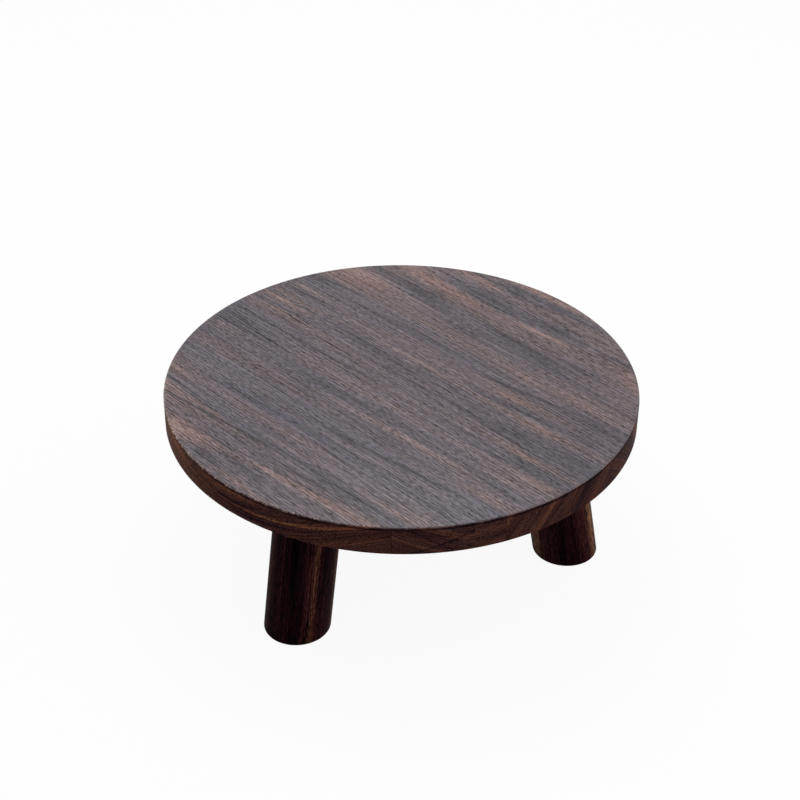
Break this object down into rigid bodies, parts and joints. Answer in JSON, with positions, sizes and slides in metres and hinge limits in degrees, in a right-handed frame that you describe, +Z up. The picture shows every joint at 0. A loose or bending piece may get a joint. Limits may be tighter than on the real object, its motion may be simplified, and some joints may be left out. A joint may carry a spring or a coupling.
{
  "type": "low round table",
  "caption": "Low round floor table in dark streaked wood: a thick disc of edge-glued boards on stout splayed legs that screw into its underside.",
  "frame": {"origin": "on the floor, under the centre of the round top", "axes": "+Z up; the grain of the top's boards runs along X; the first leg stands 41 degrees from +X towards +Y"},
  "size_m": [0.5, 0.5, 0.209],
  "materials": {
    "top_wood": "satin",
    "leg_wood": "satin",
    "fastener_steel": "satin",
    "pad_felt": "matte"
  },
  "bodies": {
    "top": {"top_board_1": "top_wood", "top_board_2": "top_wood", "top_board_3": "top_wood", "top_board_4": "top_wood", "top_board_5": "top_wood", "top_board_6": "top_wood", "insert_nut_1": "fastener_steel", "insert_nut_2": "fastener_steel", "insert_nut_3": "fastener_steel"},
    "bolt_1": {"hanger_bolt_1": "fastener_steel"},
    "leg_1": {"leg_1": "leg_wood", "foot_pad_1": "pad_felt"},
    "bolt_2": {"hanger_bolt_2": "fastener_steel"},
    "leg_2": {"leg_2": "leg_wood", "foot_pad_2": "pad_felt"},
    "bolt_3": {"hanger_bolt_3": "fastener_steel"},
    "leg_3": {"leg_3": "leg_wood", "foot_pad_3": "pad_felt"}
  },
  "joints": [
    {"name": "leg_1_drop", "type": "slide", "parent": "top", "child": "bolt_1", "axis": [0, 0, -1], "range_m": [0, 0.0175]},
    {"name": "leg_1_turn", "type": "hinge", "parent": "bolt_1", "child": "leg_1", "pos_m": [0.11622, 0.10103, 0.177], "axis": [0, 0, -1], "range_deg": [0, 5040]},
    {"name": "leg_2_drop", "type": "slide", "parent": "top", "child": "bolt_2", "axis": [0, 0, -1], "range_m": [0, 0.0175]},
    {"name": "leg_2_turn", "type": "hinge", "parent": "bolt_2", "child": "leg_2", "pos_m": [-0.14561, 0.05014, 0.177], "axis": [0, 0, -1], "range_deg": [0, 5040]},
    {"name": "leg_3_drop", "type": "slide", "parent": "top", "child": "bolt_3", "axis": [0, 0, -1], "range_m": [0, 0.0175]},
    {"name": "leg_3_turn", "type": "hinge", "parent": "bolt_3", "child": "leg_3", "pos_m": [0.02939, -0.15117, 0.177], "axis": [0, 0, -1], "range_deg": [0, 5040]}
  ],
  "couplings": [
    {"joint": "leg_1_drop", "follows": "leg_1_turn", "m_per_rad": 0.00019894},
    {"joint": "leg_2_drop", "follows": "leg_2_turn", "m_per_rad": 0.00019894},
    {"joint": "leg_3_drop", "follows": "leg_3_turn", "m_per_rad": 0.00019894}
  ]
}
